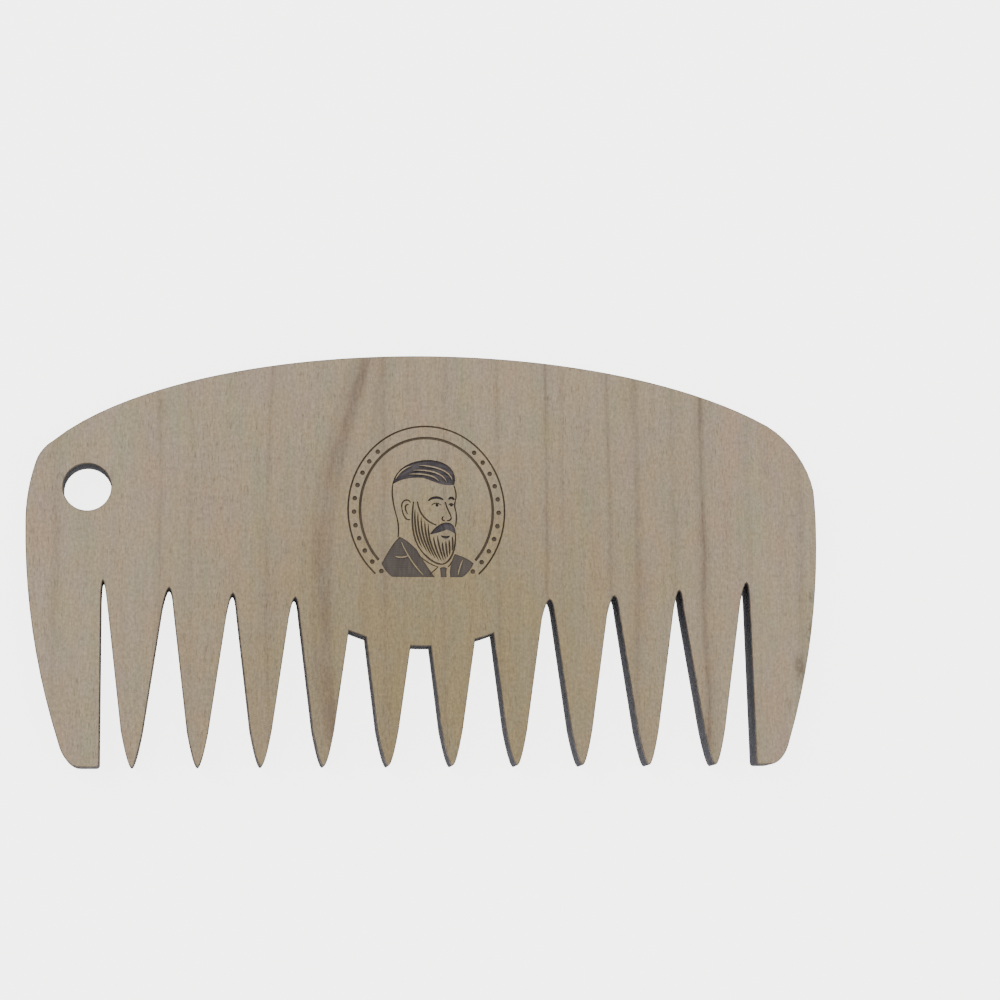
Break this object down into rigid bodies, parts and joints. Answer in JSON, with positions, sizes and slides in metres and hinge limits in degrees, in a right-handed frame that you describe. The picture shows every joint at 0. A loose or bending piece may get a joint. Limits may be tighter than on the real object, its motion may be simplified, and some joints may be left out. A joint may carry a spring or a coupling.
{
  "type": "beard comb",
  "caption": "Flat wide-tooth beard comb of laminated wood with a domed back, broad end teeth, a hanging hole and an engraved oval roundel.",
  "frame": {"origin": "under the middle of the comb's outline, on the plane of its plain back face", "axes": "+X along the comb, +Y from the tooth tips to the crown, +Z out of the engraved face"},
  "size_m": [0.1, 0.052, 0.004],
  "materials": {
    "face_wood": "bare sanded hardwood veneer, matt, its cut edges charred",
    "core_wood": "cross-grained core, only its charred edge shows",
    "glue": "set wood glue, matt"
  },
  "bodies": {
    "root": {"front_veneer": "face_wood", "front_glue_line": "glue", "core_ply": "core_wood", "back_glue_line": "glue", "back_veneer": "face_wood"}
  },
  "joints": []
}
